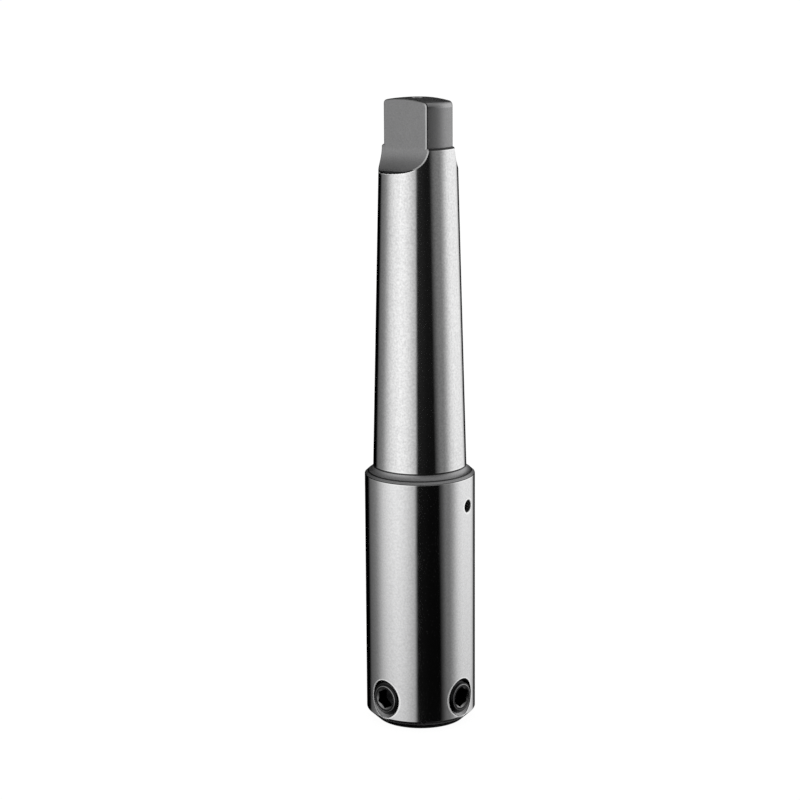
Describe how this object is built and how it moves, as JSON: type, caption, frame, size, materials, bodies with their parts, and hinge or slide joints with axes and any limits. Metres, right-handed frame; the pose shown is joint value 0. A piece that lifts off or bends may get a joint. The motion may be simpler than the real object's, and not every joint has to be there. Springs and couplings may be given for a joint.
{
  "type": "annular cutter arbor",
  "caption": "Steel arbor that holds an annular cutter: tanged taper shank, plain bore with side-lock set screws and a spring-loaded ejector.",
  "frame": {"origin": "centre of the nose face, the flat ring at the bore's mouth", "axes": "+Z along the arbor's axis towards the tang; -Y is the side of set screw A and +X the side of set screw B"},
  "size_m": [0.0374, 0.0374, 0.2135],
  "materials": {
    "ground_steel": "hardened and ground, fine matte on the tang and neck",
    "black_oxide": "black oxide",
    "spring_steel": "bright spring steel",
    "turned_steel": "fine turned"
  },
  "bodies": {
    "arbor": {"arbor_body": "ground_steel", "retaining_ring": "spring_steel", "ejector_spring": "spring_steel"},
    "screw_a": {"set_screw_a": "black_oxide"},
    "screw_b": {"set_screw_b": "black_oxide"},
    "ejector": {"ejector_plunger": "turned_steel"}
  },
  "joints": [
    {"name": "screw_a_travel", "type": "slide", "parent": "arbor", "child": "screw_a", "axis": [0, 1, 0], "range_m": [-0.0028, 0.0027]},
    {"name": "screw_b_travel", "type": "slide", "parent": "arbor", "child": "screw_b", "axis": [-1, 0, 0], "range_m": [-0.0028, 0.0027]},
    {"name": "ejector_travel", "type": "slide", "parent": "arbor", "child": "ejector", "axis": [0, 0, 1], "range_m": [0, 0.026], "stiffness_N_per_m": 1246, "springref_m": -0.0115, "deforming": ["ejector_spring"]}
  ]
}
